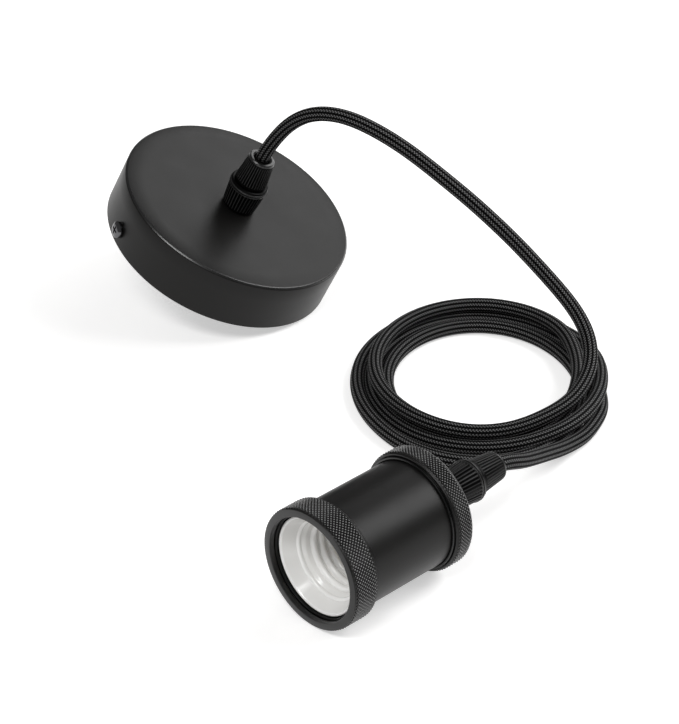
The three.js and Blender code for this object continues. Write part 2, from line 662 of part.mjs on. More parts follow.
function addHolder(parent) {
  const holder = new THREE.Group();
  holder.rotation.x = -PI / 2;
  holder.position.set(HOLDER_X, HOLDER_FRONT_Y, RING_RADIUS);
  piece(holder, 'shade_ring', shadeRing(), KNURLED);
  piece(holder, 'holder_shell', holderShell(), PAINT);
  piece(holder, 'rear_cap', rearCap(), KNURLED);
  piece(holder, 'socket_insert', socketInsert(), WHITE);
  piece(holder, 'contact_base', contactBase(), WHITE);
  piece(holder, 'centre_contact', centreContact(), BRASS);
  piece(holder, 'side_contact', sideContact(), BRASS);
  [['line', 1], ['neutral', -1]].forEach(([name, side]) => {
    const reach = BASE_BACK + GAP - CONTACT_Z - CONTACT_THICK / 2 - GAP;
    const terminal = piece(holder, `holder_terminal_screw_${name}`, screw(TERMINAL_SCREW, reach), STEEL);
    terminal.position.set(side * TERMINAL_X, 0, BASE_BACK + GAP);
    const fixing = piece(holder, `base_screw_${side > 0 ? 'a' : 'b'}`, screw(BASE_SCREW, BASE_LENGTH + 4), STEEL);
    fixing.position.set(0, side * BASE_SCREW_Y, BASE_BACK + GAP);
  });
  addGrip(holder, 'holder', NECK_BACK + GAP);
  // The grip's own +Z already points along the cord, away from the socket
  addHolderWires(holder, NECK_BACK - SHANK_LENGTH - STUB_BELOW_SHANK);
  parent.add(holder);
}

function addHolderWires(holder, from) {
  const spread = CORD_RADIUS * 0.5;
  for (const [name, side] of [['line', 1], ['neutral', -1]]) {
    const route = [
      [side * spread, spread * 0.6, from],
      [side * spread, spread * 0.7, from - 1.6],
      [side * TERMINAL_X * 0.6, PORT_OFFSET * 0.6, from - 5.5],
      [side * TERMINAL_X * 0.97, PORT_OFFSET * 0.97, BASE_BACK + 1.5],
      [side * TERMINAL_X, PORT_OFFSET, BASE_BACK - 1],
      [side * TERMINAL_X, PORT_OFFSET, BASE_BACK - 5],
    ];
    piece(holder, `holder_wire_${name}`, conductor(route), WIRE_COLOURS[name]);
  }
  const plateFront = CAP_PLATE_BACK - CAP_PLATE;
  const lugBase = plateFront - GAP;
  const lugMouth = HOLDER_EARTH_Y + LUG_REACH;
  const wireZ = lugBase - LUG_BARREL;
  const lug = earthLug(EARTH_SCREW.shank + GAP).rotateZ(PI / 2).rotateY(PI);
  piece(holder, 'holder_earth_lug', lug, BRASS).position.set(0, HOLDER_EARTH_Y, lugBase);
  const headAt = lugBase - LUG_THICK - GAP;
  const earth = piece(holder, 'holder_earth_screw', screw(EARTH_SCREW, 2.4).rotateX(PI), STEEL);
  earth.position.set(0, HOLDER_EARTH_Y, headAt);
  const route = [
    [0, -spread, from],
    [0, -spread * 1.05, from - 1.2],
    [0, lugMouth + 1.4, wireZ - 0.4],
    [0, lugMouth, wireZ],
    [0, lugMouth - 2, wireZ],
  ];
  piece(holder, 'holder_wire_earth', conductor(route), WIRE_COLOURS.earth);
}

// Outer shape of the coiled turns: a ring of chamfered section, drawn out along its own Y
function coil() {
  const inner = COIL_RADIUS - COIL_BAND / 2;
  const outer = COIL_RADIUS + COIL_BAND / 2;
  const ring = turned([
    [inner + COIL_CORNER, 0],
    [outer - COIL_CORNER, 0],
    [outer, COIL_CORNER],
    [outer, COIL_HEIGHT - COIL_CORNER],
    [outer - COIL_CORNER, COIL_HEIGHT],
    [inner + COIL_CORNER, COIL_HEIGHT],
    [inner, COIL_HEIGHT - COIL_CORNER],
    [inner, COIL_CORNER],
  ]);
  const position = ring.attributes.position;
  for (let i = 0; i < position.count; i += 1) {
    const radius = Math.hypot(position.getX(i), position.getY(i));
    position.setY(i, (position.getY(i) * (radius + COIL_EXTRA_LENGTH)) / radius);
  }
  return ring;
}

// Mouth of a grip in the frame of its assembly, a gap past the cap
const CANOPY_AXIS = v3(sin(CANOPY_TILT) * cos(CANOPY_HEADING), sin(CANOPY_TILT) * sin(CANOPY_HEADING), cos(CANOPY_TILT));
const CANOPY_BASE = v3(CANOPY_X, CANOPY_Y, CANOPY_RADIUS * sin(CANOPY_TILT));
const CANOPY_MOUTH = CANOPY_BASE.clone().addScaledVector(CANOPY_AXIS, CANOPY_HEIGHT + GAP + GRIP_HEIGHT + GAP);
const HOLDER_MOUTH = v3(HOLDER_X, HOLDER_FRONT_Y + NECK_BACK + GAP + GRIP_HEIGHT + GAP, RING_RADIUS);

// The cord's way from the canopy up, over and down onto the coil
const ARCH_ROUTE = [
  [-64.6, 51.9, 74.5],
  [-58.3, 54.5, 83.2],
  [-50.2, 57.9, 89.6],
  [-41.7, 61.4, 92.0],
  [-33.3, 64.8, 91.8],
  [-24.5, 68.4, 89.4],
  [-15.2, 72.3, 85.4],
  [-6.0, 76.1, 80.3],
  [6.9, 81.2, 72.0],
  [18.3, 85.8, 64.0],
  [29.9, 90.3, 55.0],
  [38.8, 93.4, 47.7],
  [47.9, 96.3, 39.8],
  [57.0, 97.2, 33.8],
  [66.2, 95.9, 28.9],
  [75.4, 92.0, 23.9],
  [83.0, 84.8, 18.7],
  [86.4, 78.2, 15.2],
];

// The cord's way from the holder down to the floor beside the coil
const LEAD_ROUTE = [
  [111.04, 3.6, 23.2],
  [111.0, 9.4, 20.9],
  [110.3, 14.0, 18.2],
  [109.0, 20.6, 15.5],
  [107.7, 27.8, 12.5],
  [106.5, 35.6, 9.5],
  [105.6, 43.1, 6.8],
  [104.9, 50.3, 4.6],
  [104.5, 56.8, 3.5],
  [104.1, 63.0, 3.2],
];

const along = (point, direction, far) => point.clone().addScaledVector(direction, far).toArray();

function addCord(parent) {
  const arch = [CANOPY_MOUTH.toArray(), along(CANOPY_MOUTH, CANOPY_AXIS, 5), ...ARCH_ROUTE];
  piece(parent, 'cord_arch', tube(arch, CORD_RADIUS, CORD_SIDES, 18), BRAID);
  const ring = piece(parent, 'cord_coil', coil(), BRAID);
  ring.position.set(COIL_X, COIL_Y, 0);
  ring.rotation.z = COIL_HEADING;
  const lead = [HOLDER_MOUTH.toArray(), ...LEAD_ROUTE];
  piece(parent, 'cord_lead', tube(lead, CORD_RADIUS, CORD_SIDES, 8), BRAID);
}

const pendant = new THREE.Group();
addCanopy(pendant);
addHolder(pendant);
addCord(pendant);

export default pendant;
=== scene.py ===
import math

import bmesh
import bpy
from mathutils import Euler, Matrix, Vector


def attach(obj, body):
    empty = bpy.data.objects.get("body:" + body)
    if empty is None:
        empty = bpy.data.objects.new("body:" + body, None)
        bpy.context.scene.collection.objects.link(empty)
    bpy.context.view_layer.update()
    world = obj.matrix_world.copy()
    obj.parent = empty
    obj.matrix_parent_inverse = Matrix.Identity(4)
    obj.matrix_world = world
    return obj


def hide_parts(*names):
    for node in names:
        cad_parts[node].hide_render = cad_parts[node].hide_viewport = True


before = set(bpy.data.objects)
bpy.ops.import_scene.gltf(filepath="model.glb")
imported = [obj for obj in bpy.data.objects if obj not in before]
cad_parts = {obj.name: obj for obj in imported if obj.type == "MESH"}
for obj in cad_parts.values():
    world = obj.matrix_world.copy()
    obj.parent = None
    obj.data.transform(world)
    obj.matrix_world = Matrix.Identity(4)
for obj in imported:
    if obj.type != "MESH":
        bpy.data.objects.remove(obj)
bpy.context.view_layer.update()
MM = 0.001
print("frame nodes:", len(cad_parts))

# %% [markdown]
# ## Camera
# A picture of a product is usually taken from a good distance with a long lens, so that round parts
# stay round. The camera looks down at 31 degrees. It is placed by a point on the floor that it looks
# at, the direction back to the camera, and the distance between the two.
# %% Camera at the angle of the picture
LOOKED_AT = Vector((-0.00855, 0.0357, 0.0))
BACK_TO_CAMERA = Vector((0.6142, -0.5931, 0.5207)).normalized()
CAMERA_DISTANCE = 1.05
FOCAL_PIXELS = 2572.47
PICTURE_HEIGHT = 724
SENSOR_WIDTH = 36

camera_data = bpy.data.cameras.new("camera")
camera_data.sensor_fit = "AUTO"
camera_data.sensor_width = SENSOR_WIDTH
camera_data.lens = FOCAL_PIXELS * SENSOR_WIDTH / PICTURE_HEIGHT
camera_data.clip_end = 100
camera = bpy.data.objects.new("camera", camera_data)
bpy.context.scene.collection.objects.link(camera)
camera.location = LOOKED_AT + BACK_TO_CAMERA * CAMERA_DISTANCE
camera.rotation_euler = BACK_TO_CAMERA.to_track_quat("Z", "Y").to_euler()
bpy.context.scene.camera = camera
print("camera at", [round(value, 3) for value in camera.location])

# %% [markdown]
# ## The way of the cord
# The cord leaves the canopy straight, rises in an arch, comes down on the coil, goes round four times
# and runs on to the holder. Points along the arch and the lead are written one by one. The turns of
# the coil come from a loop: every 20 degrees a point is set on an oval, moved outwards or inwards and
# up or down as the turns lie beside and over each other.
# %% Where the canopy and the holder lie
CANOPY_BASE = Vector((-88.4, 41.3, 21.486)) * MM
CANOPY_TURN = Euler((0, math.radians(25.45), math.radians(24.45)))
CANOPY_PLACE = Matrix.Translation(CANOPY_BASE) @ CANOPY_TURN.to_matrix().to_4x4()
HOLDER_FRONT = Vector((111.04, -94.42, 23.3)) * MM
HOLDER_PLACE = Matrix.Translation(HOLDER_FRONT) @ Matrix.Rotation(-math.pi / 2, 4, "X")
CANOPY_GRIP_AT = 23.1
HOLDER_GRIP_AT = 68.3
GRIP_HEIGHT = 26.3
CORD_RADIUS = 3.0

cord_exit = CANOPY_PLACE @ Vector((0, 0, (CANOPY_GRIP_AT + GRIP_HEIGHT) * MM))
cord_goes = CANOPY_PLACE @ Vector((0, 0, (CANOPY_GRIP_AT + GRIP_HEIGHT + 6) * MM))
print("cord leaves the canopy at", [round(value, 4) for value in cord_exit])

# %% Points of the arch, the turns and the lead
ARCH_POINTS = [
    (-0.0646, 0.0519, 0.0745), (-0.0583, 0.0545, 0.0832), (-0.0502, 0.0579, 0.0896),
    (-0.0417, 0.0614, 0.0920), (-0.0333, 0.0648, 0.0918), (-0.0245, 0.0684, 0.0894),
    (-0.0152, 0.0723, 0.0854), (-0.0060, 0.0761, 0.0803), (0.0069, 0.0812, 0.0720),
    (0.0183, 0.0858, 0.0640), (0.0299, 0.0903, 0.0550), (0.0388, 0.0934, 0.0477),
    (0.0479, 0.0963, 0.0398), (0.0570, 0.0972, 0.0338), (0.0662, 0.0959, 0.0289),
    (0.0754, 0.0920, 0.0239), (0.0830, 0.0848, 0.0187), (0.0873, 0.0755, 0.0147),
    (0.0894, 0.0640, 0.0120),
]
LEAD_POINTS = [
    (0.1003, 0.0630, 0.0030), (0.1011, 0.0568, 0.0034), (0.1022, 0.0503, 0.0046),
    (0.1038, 0.0431, 0.0068), (0.1053, 0.0356, 0.0095), (0.1071, 0.0278, 0.0125),
    (0.1090, 0.0206, 0.0155), (0.1103, 0.0140, 0.0182), (0.1110, 0.0094, 0.0205),
    (0.11104, 0.0040, 0.0228), (0.11104, 0.0000, 0.0233),
]

# The oval that the turns follow: its middle in metres, its heading, its half widths in millimetres
COIL_CENTRE = (0.0454, 0.0621)
COIL_HEADING = math.radians(46)
COIL_ACROSS = 43.0
COIL_ALONG = 49.5

# Stations along the turns: the angle in degrees, the way outwards from the oval and the height of the
# cord's middle over the floor, both in millimetres
TURN_STATIONS = [
    (-62, -4.0, 9.9), (-90, -3.4, 8.8), (-130, -3.2, 8.6),
    (-160, -1.6, 8.7), (-180, -0.6, 8.8), (-205, 0.4, 8.8), (-230, 1.4, 8.8), (-276, 2.8, 8.8),
    (-315, 2.2, 8.8), (-330, -0.4, 8.8), (-345, -2.6, 8.4), (-370, -4.4, 7.4), (-395, -4.6, 5.6),
    (-420, -4.8, 4.0), (-450, -5.8, 3.0), (-495, -5.6, 3.0), (-540, -5.1, 3.0), (-590, -5.2, 3.0),
    (-636, -4.8, 3.0), (-680, -4.4, 3.0), (-705, -3.4, 3.0), (-720, -2.4, 3.0), (-735, -1.5, 3.0),
    (-750, 0.2, 3.0), (-770, 3.8, 3.0), (-790, 6.8, 3.0), (-808, 8.8, 3.0), (-826, 9.8, 3.0),
    (-845, 8.8, 3.0), (-868, 6.8, 3.0), (-900, 6.4, 3.0), (-950, 6.7, 3.0), (-996, 6.9, 3.0),
    (-1035, 6.2, 3.8), (-1058, 5.5, 6.1), (-1082, 4.8, 8.3), (-1105, 5.0, 8.8), (-1130, 4.6, 8.0),
    (-1150, 2.6, 6.2), (-1175, 0.6, 4.2),
    (-1215, 0.3, 3.0), (-1260, 0.9, 3.0), (-1310, 0.9, 3.0), (-1356, 0.9, 3.0), (-1395, 1.2, 3.0),
    (-1420, 1.6, 3.0), (-1438, 2.8, 3.0), (-1454, 5.3, 3.0), (-1461, 6.8, 3.0), (-1469, 8.2, 3.0),
    (-1475, 9.0, 3.0),
]
TURN_STEP = 20


def coil_point(angle, outwards, height):
    turned = math.radians(angle)
    across, along = COIL_ACROSS * math.cos(turned), COIL_ALONG * math.sin(turned)
    steep = Vector((across / COIL_ACROSS**2, along / COIL_ALONG**2)).normalized()
    across += outwards * steep.x
    along += outwards * steep.y
    cosine, sine = math.cos(COIL_HEADING), math.sin(COIL_HEADING)
    x = COIL_CENTRE[0] + (across * cosine - along * sine) * MM
    y = COIL_CENTRE[1] + (across * sine + along * cosine) * MM
    return Vector((x, y, height * MM))


def between_stations(angle):
    for (a, out_a, up_a), (b, out_b, up_b) in zip(TURN_STATIONS, TURN_STATIONS[1:]):
        if b <= angle <= a:
            share = (a - angle) / (a - b)
            return out_a + (out_b - out_a) * share, up_a + (up_b - up_a) * share
    return TURN_STATIONS[-1][1:]


turn_points = []
angle = TURN_STATIONS[0][0]
while angle > TURN_STATIONS[-1][0]:
    turn_points.append(coil_point(angle, *between_stations(angle)))
    angle -= TURN_STEP
cord_points = [cord_exit, cord_goes] + [Vector(point) for point in ARCH_POINTS]
cord_points += turn_points + [Vector(point) for point in LEAD_POINTS]
print("points along the cord:", len(cord_points))

# %% [markdown]
# ## A smooth line through the points
# A smooth curve that passes through all its points keeps the cord round in its bends. Here each
# stretch between two points is a cubic whose slope at both ends comes from the neighbours. The line is
# then divided into even steps, and a light smoothing takes out small kinks, as the stiffness of a
# real cord does.
# %% Even steps along the smooth line
CORD_STEP = 1.6
PARTS_PER_STRETCH = 24
SMOOTHING_ROUNDS = 14


def stretch(before, start, end, after, share):
    slope_start = (end - before) * 0.5
    slope_end = (after - start) * 0.5
    square, cube = share**2, share**3
    place = start * (2 * cube - 3 * square + 1) + end * (3 * square - 2 * cube)
    return place + slope_start * (cube - 2 * square + share) + slope_end * (cube - square)


def smooth_line(points, step):
    fine = []
    padded = [points[0]] + points + [points[-1]]
    for i in range(len(points) - 1):
        shares = [part / PARTS_PER_STRETCH for part in range(PARTS_PER_STRETCH)]
        fine += [stretch(*padded[i:i + 4], share) for share in shares]
    fine.append(points[-1])
    even, carried = [fine[0]], 0.0
    for here, there in zip(fine, fine[1:]):
        length = (there - here).length
        while carried + length >= step:
            share = (step - carried) / length
            here = here.lerp(there, share)
            length = (there - here).length
            even.append(here)
            carried = 0.0
        carried += length
    even.append(fine[-1])
    return even


def eased_line(line):
    inner = range(2, len(line) - 2)
    eased = [(line[i - 1] + line[i] * 2 + line[i + 1]) / 4 for i in inner]
    return line[:2] + eased + line[-2:]


cord_line = smooth_line(cord_points, CORD_STEP * MM)
for _ in range(SMOOTHING_ROUNDS):
    cord_line = eased_line(cord_line)
cord_length = sum((b - a).length for a, b in zip(cord_line, cord_line[1:]))
print("cord length in metres:", round(cord_length, 3))

# %% [markdown]
# ## The cord as a tube with its own map
# The braid has to follow the cord round every bend, so the tube gets a map of its own: along it the
# map counts the length, and across it the way round. The rings are carried along without twist, each
# frame turned from the one before, or the braid would spin in the bends. The threads lie in ten
# long rows with a groove between them, so the tube's section is a flower of ten low lobes.
# %% Tube along the line
BRAID_ROWS = 10
SIDES_PER_ROW = 4
CORD_SIDES = BRAID_ROWS * SIDES_PER_ROW
GROOVE_DEPTH = 0.3
CORD_WAY_ROUND = 2 * math.pi * CORD_RADIUS * MM


def carried_frames(line):
    last = len(line) - 1
    ahead = [(line[min(i + 1, last)] - line[max(i - 1, 0)]).normalized() for i in range(last + 1)]
    side = ahead[0].orthogonal().normalized()
    sides = [side]
    for before, now in zip(ahead, ahead[1:]):
        side = before.rotation_difference(now) @ side
        sides.append((side - now * side.dot(now)).normalized())
    return list(zip(ahead, sides))


def braided_ring(mesh, place, ahead, side, radius):
    up = ahead.cross(side)
    ring = []
    for k in range(CORD_SIDES):
        corner = 2 * math.pi * k / CORD_SIDES
        reach = radius if k % SIDES_PER_ROW else radius - GROOVE_DEPTH * MM
        ring.append(mesh.verts.new(place + (side * math.cos(corner) + up * math.sin(corner)) * reach))
    return ring


def mapped_band(mesh, layer, ring, next_ring, low, high):
    for k in range(CORD_SIDES):
        after = (k + 1) % CORD_SIDES
        face = mesh.faces.new((ring[k], ring[after], next_ring[after], next_ring[k]))
        face.smooth = True
        marks = [(low, k), (low, k + 1), (high, k + 1), (high, k)]
        for loop, (along, column) in zip(face.loops, marks):
            loop[layer].uv = (along, column / CORD_SIDES)


def braided_tube(name, line, radius):
    mesh = bmesh.new()
    layer = mesh.loops.layers.uv.new("braid")
    rings = []
    for place, (ahead, side) in zip(line, carried_frames(line)):
        rings.append(braided_ring(mesh, place, ahead, side, radius))
    far = 0.0
    for i in range(len(rings) - 1):
        further = far + (line[i + 1] - line[i]).length
        mapped_band(mesh, layer, rings[i], rings[i + 1], far / CORD_WAY_ROUND, further / CORD_WAY_ROUND)
        far = further
    mesh.faces.new(list(reversed(rings[0])))
    mesh.faces.new(rings[-1])
    data = bpy.data.meshes.new(name)
    mesh.to_mesh(data)
    mesh.free()
    made = bpy.data.objects.new(name, data)
    bpy.context.scene.collection.objects.link(made)
    return made


cord = braided_tube("braided_cord", cord_line, CORD_RADIUS * MM)
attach(cord, "root")
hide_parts("cord_arch", "cord_coil", "cord_lead")
print("cord faces:", len(cord.data.polygons))

# %% [markdown]
# ## Floor, lamps and the air around
# The floor is a pale sheet far larger than the set. It stays plain white in the picture because it
# glows a little for the camera and in reflections, and the soft shadows are kept. A soft lamp behind
# the set and a stronger one to its side draw the long highlights along the shell and the cord. A
# smaller one, high in front, lights the mouth of the socket and the knurl.
# %% Pale floor
FLOOR_SIZE = 24.0
FLOOR_DROP = 0.00005
FLOOR_LIFT = 0.5
PAPER_COLOUR = (0.8, 0.795, 0.79)

bpy.ops.object.select_all(action="DESELECT")
bpy.ops.mesh.primitive_plane_add(size=FLOOR_SIZE, location=(0, 0, -FLOOR_DROP))
floor = bpy.context.object
floor.name = floor.data.name = "floor"
floor_look = bpy.data.materials.new("floor_paper")
floor_look.use_nodes = True
nodes, links = floor_look.node_tree.nodes, floor_look.node_tree.links
nodes.clear()
paper = nodes.new("ShaderNodeBsdfDiffuse")
paper.inputs["Color"].default_value = (*PAPER_COLOUR, 1)
seen_by = nodes.new("ShaderNodeLightPath")
direct_or_mirrored = nodes.new("ShaderNodeMath")
direct_or_mirrored.operation = "MAXIMUM"
links.new(seen_by.outputs["Is Camera Ray"], direct_or_mirrored.inputs[0])
links.new(seen_by.outputs["Is Glossy Ray"], direct_or_mirrored.inputs[1])
or_through = nodes.new("ShaderNodeMath")
or_through.operation = "MAXIMUM"
links.new(direct_or_mirrored.outputs[0], or_through.inputs[0])
links.new(seen_by.outputs["Is Transmission Ray"], or_through.inputs[1])
lift = nodes.new("ShaderNodeMath")
lift.operation = "MULTIPLY"
lift.inputs[1].default_value = FLOOR_LIFT
links.new(or_through.outputs[0], lift.inputs[0])
glow = nodes.new("ShaderNodeEmission")
links.new(lift.outputs[0], glow.inputs["Strength"])
both = nodes.new("ShaderNodeAddShader")
links.new(paper.outputs[0], both.inputs[0])
links.new(glow.outputs[0], both.inputs[1])
floor_out = nodes.new("ShaderNodeOutputMaterial")
links.new(both.outputs[0], floor_out.inputs["Surface"])
floor.data.materials.append(floor_look)
print("floor is", FLOOR_SIZE, "metres wide")

# %% Lamps and soft surrounding light
LAMP_DISTANCE = 1.7
AIR_STRENGTH = 0.2


def soft_lamp(name, direction, wide, high, watts):
    data = bpy.data.lights.new(name, "AREA")
    data.shape = "RECTANGLE"
    data.size, data.size_y, data.energy = wide, high, watts
    lamp = bpy.data.objects.new(name, data)
    bpy.context.scene.collection.objects.link(lamp)
    towards = Vector(direction).normalized()
    lamp.location = towards * LAMP_DISTANCE
    lamp.rotation_euler = towards.to_track_quat("Z", "Y").to_euler()


soft_lamp("lamp_behind", (-0.16, 0.82, 0.55), 1.1, 0.8, 6.8)
soft_lamp("lamp_side", (0.45, 0.60, 0.66), 1.1, 0.9, 18)
soft_lamp("lamp_front", (0.20, -0.55, 0.81), 0.9, 0.4, 13)
world = bpy.data.worlds.new("studio_air")
bpy.context.scene.world = world
world.use_nodes = True
world.node_tree.nodes["Background"].inputs["Color"].default_value = (1, 1, 1, 1)
world.node_tree.nodes["Background"].inputs["Strength"].default_value = AIR_STRENGTH
bpy.context.scene.view_settings.view_transform = "Standard"

# %% [markdown]
# ## Shared effects as shader groups
# Paint, moulded plastic and metal all have a very fine skin that breaks up reflections. One group
# makes two grey values from noise in the object's own space: a fine height for a bump, and a broad
# mottle that varies the gloss. A second group reads a value that the ribs and the knurl carry on
# their points, 1 on a crest and 0 in a groove, as the mask of a painted highlight: a lighter colour
# on the crests that stands for glints of light. Each material picks its own scale and strength.
# %% Group: fine skin
def new_group(name, numbers, results):
    group = bpy.data.node_groups.new(name, "ShaderNodeTree")
    for label, value in numbers:
        socket = group.interface.new_socket(label, in_out="INPUT", socket_type="NodeSocketFloat")
        socket.default_value = value
    for label in results:
        group.interface.new_socket(label, in_out="OUTPUT", socket_type="NodeSocketFloat")
    return group, group.nodes.new("NodeGroupInput"), group.nodes.new("NodeGroupOutput")


skin_group, skin_in, skin_out = new_group(
    "fine_skin", [("Grain Scale", 2500.0), ("Mottle Scale", 60.0)], ["Height", "Mottle"],
)
where = skin_group.nodes.new("ShaderNodeTexCoord")
for label, socket, result in (("grain", "Grain Scale", "Height"), ("mottle", "Mottle Scale", "Mottle")):
    noise = skin_group.nodes.new("ShaderNodeTexNoise")
    noise.label = label
    noise.inputs["Detail"].default_value = 3.0
    skin_group.links.new(where.outputs["Object"], noise.inputs["Vector"])
    skin_group.links.new(skin_in.outputs[socket], noise.inputs["Scale"])
    skin_group.links.new(noise.outputs["Fac"], skin_out.inputs[result])
print("group made:", skin_group.name)

# %% Group: painted highlight on the crests
crest_group, crest_in, crest_out = new_group("crest_painted_highlight", [("Sharpness", 2.0)], ["Mask"])
crest = crest_group.nodes.new("ShaderNodeAttribute")
crest.attribute_name = "crest"
narrower = crest_group.nodes.new("ShaderNodeMath")
narrower.operation = "POWER"
crest_group.links.new(crest.outputs["Fac"], narrower.inputs[0])
crest_group.links.new(crest_in.outputs["Sharpness"], narrower.inputs[1])
crest_group.links.new(narrower.outputs[0], crest_out.inputs["Mask"])
print("group made:", crest_group.name)

# %% [markdown]
# ## Finishes
# A helper starts a material with the fine skin already wired to its bump, tint and roughness. Each
# finish then sets its own colour, roughness and metal share, as on a paint card. The depth of the skin
# is in millimetres.
# %% Helpers: mix two colours, spread a value, give a bump
def mixed_colour(look, dark, light, share):
    mix = look.node_tree.nodes.new("ShaderNodeMix")
    mix.data_type = "RGBA"
    mix.inputs[6].default_value = (*dark, 1)
    mix.inputs[7].default_value = (*light, 1)
    look.node_tree.links.new(share, mix.inputs[0])
    return mix


def spread_value(look, value, low, high):
    spread = look.node_tree.nodes.new("ShaderNodeMapRange")
    spread.inputs["To Min"].default_value = low
    spread.inputs["To Max"].default_value = high
    look.node_tree.links.new(value, spread.inputs["Value"])
    return spread.outputs["Result"]


def give_bump(look, height, depth):
    nodes, links = look.node_tree.nodes, look.node_tree.links
    bump = nodes.new("ShaderNodeBump")
    bump.inputs["Distance"].default_value = depth * MM
    bump.inputs["Strength"].default_value = 1.0
    links.new(height, bump.inputs["Height"])
    links.new(bump.outputs["Normal"], nodes["Principled BSDF"].inputs["Normal"])


# %% Helpers: a finish with a fine skin, and a painted highlight on its crests
ROUGHNESS_VARIES = 0.06
LEAST_ROUGHNESS = 0.02


def finish(name, colour, roughness, metal=0.0, specular=0.5, grain=2500.0, mottle=60.0, depth=0.02,
           shade=0.12):
    look = bpy.data.materials.new(name)
    look.use_nodes = True
    look.diffuse_color = (*colour, 1)
    nodes, links = look.node_tree.nodes, look.node_tree.links
    shader = nodes["Principled BSDF"]
    shader.inputs["Metallic"].default_value = metal
    shader.inputs["Specular IOR Level"].default_value = specular
    skin = nodes.new("ShaderNodeGroup")
    skin.node_tree = skin_group
    skin.inputs["Grain Scale"].default_value = grain
    skin.inputs["Mottle Scale"].default_value = mottle
    smoothest = max(roughness - ROUGHNESS_VARIES, LEAST_ROUGHNESS)
    varied = spread_value(look, skin.outputs["Mottle"], smoothest, roughness + ROUGHNESS_VARIES)
    links.new(varied, shader.inputs["Roughness"])
    darker = [value * (1 - shade) for value in colour]
    lighter = [min(value * (1 + shade), 1) for value in colour]
    tint = mixed_colour(look, darker, lighter, skin.outputs["Mottle"])
    links.new(tint.outputs[2], shader.inputs["Base Color"])
    give_bump(look, skin.outputs["Height"], depth)
    return look


# Painted highlight: the crests of ribs and knurl get a lighter base colour that stands for glints of light.
def paint_crest_highlight(look, colour, sharpness):
    nodes, links = look.node_tree.nodes, look.node_tree.links
    shader = nodes["Principled BSDF"]
    plain = shader.inputs["Base Color"].links[0].from_socket
    crest_glint = nodes.new("ShaderNodeGroup")
    crest_glint.node_tree = crest_group
    crest_glint.inputs["Sharpness"].default_value = sharpness
    tint = mixed_colour(look, colour, colour, crest_glint.outputs["Mask"])
    links.new(plain, tint.inputs[6])
    links.new(tint.outputs[2], shader.inputs["Base Color"])


# %% The set's finishes
satin_black = finish("satin_black_paint", (0.0055, 0.0052, 0.005), 0.37, specular=0.2, depth=0.02)
edge_black = finish("burnished_edge", (0.006, 0.006, 0.006), 0.28, specular=0.6, depth=0.01)
smooth_black = finish("smooth_black_metal", (0.004, 0.004, 0.004), 0.3, specular=0.42, depth=0.01)
knurled_black = finish("knurled_black_metal", (0.002, 0.002, 0.002), 0.26, specular=0.24, depth=0.003)
grip_black = finish("moulded_black", (0.001, 0.001, 0.001), 0.3, specular=0.07, depth=0.01)
rubber_black = finish("sleeve_rubber", (0.02, 0.02, 0.02), 0.8, depth=0.05)
white_ceramic = finish(
    "white_socket", (0.88, 0.875, 0.855), 0.17, grain=1200.0, mottle=30.0, depth=0.01, shade=0.02,
)
# Painted highlight for the socket's rim, step and thread crowns: whiter than the socket's own white.
painted_glaze_highlight = finish(
    "painted_glaze_highlight", (1.0, 0.995, 0.98), 0.12, specular=0.8, grain=1200.0, depth=0.01, shade=0.0,
)
dark_zinc = finish("dark_zinc_plating", (0.12, 0.12, 0.125), 0.18, metal=1.0, grain=3500.0, depth=0.01)
zinc_steel = finish("zinc_plated_steel", (0.62, 0.63, 0.64), 0.3, metal=1.0, grain=3500.0, depth=0.01)
bright_brass = finish("brass", (0.72, 0.53, 0.24), 0.28, metal=1.0, grain=3500.0, depth=0.01)
clear_block = finish("pale_block_plastic", (0.74, 0.73, 0.68), 0.4, depth=0.02)
wire_looks = {
    "line": finish("wire_brown", (0.19, 0.075, 0.025), 0.4, depth=0.01),
    "neutral": finish("wire_blue", (0.03, 0.13, 0.52), 0.4, depth=0.01),
    "earth": finish("wire_green", (0.13, 0.42, 0.06), 0.4, depth=0.01),
}
# Painted highlight on the knurl's points and on the grips' ribs: a lighter colour that stands for glints.
paint_crest_highlight(knurled_black, (0.6, 0.6, 0.6), 3.6)
paint_crest_highlight(grip_black, (0.07, 0.07, 0.07), 3.0)
print("finishes:", len(bpy.data.materials))

# %% [markdown]
# ## Braided textile
# The sleeve of the cord is woven from threads that wind both ways and show as rows of small slanted
# stitches. The cord's own map is cut into its ten rows, and each row into two halves. A round wave
# gives the ridge of a row and of a half, and a slanted wave gives the stitches, which lean one way in
# the first half and the other way in the second. The crowns shine and carry a painted highlight, a
# pale grey colour. The grooves carry painted shade, a near-black colour and a dimmed reflection. So a
# lamp and the painted highlight draw dotted lines along the cord.
# %% Braid material
STITCHES_ALONG = 15.5
STITCH_SLANT = 0.6
STITCH_BUMP = 0.15
# Painted shade in the grooves and a painted highlight on the crowns, in colour and in shine.
GROOVE_PAINTED_SHADE = (0.001, 0.001, 0.0011)
CROWN_PAINTED_HIGHLIGHT = (0.45, 0.45, 0.45)
GROOVE_SHADED_SHINE = (0.03, 0.03, 0.03)
CROWN_SHINE = (1, 1, 1)

braid = bpy.data.materials.new("braided_textile")
braid.use_nodes = True
nodes, links = braid.node_tree.nodes, braid.node_tree.links
braid_shader = nodes["Principled BSDF"]
braid_shader.inputs["Specular IOR Level"].default_value = 1.0
cord_map = nodes.new("ShaderNodeUVMap")
cord_map.uv_map = "braid"
split = nodes.new("ShaderNodeSeparateXYZ")
links.new(cord_map.outputs["UV"], split.inputs[0])


def math_node(kind, first, second=None):
    node = nodes.new("ShaderNodeMath")
    node.operation = kind
    for slot, value in enumerate((first, second)):
        if isinstance(value, (int, float)):
            node.inputs[slot].default_value = value
        elif value is not None:
            links.new(value, node.inputs[slot])
    return node.outputs[0]


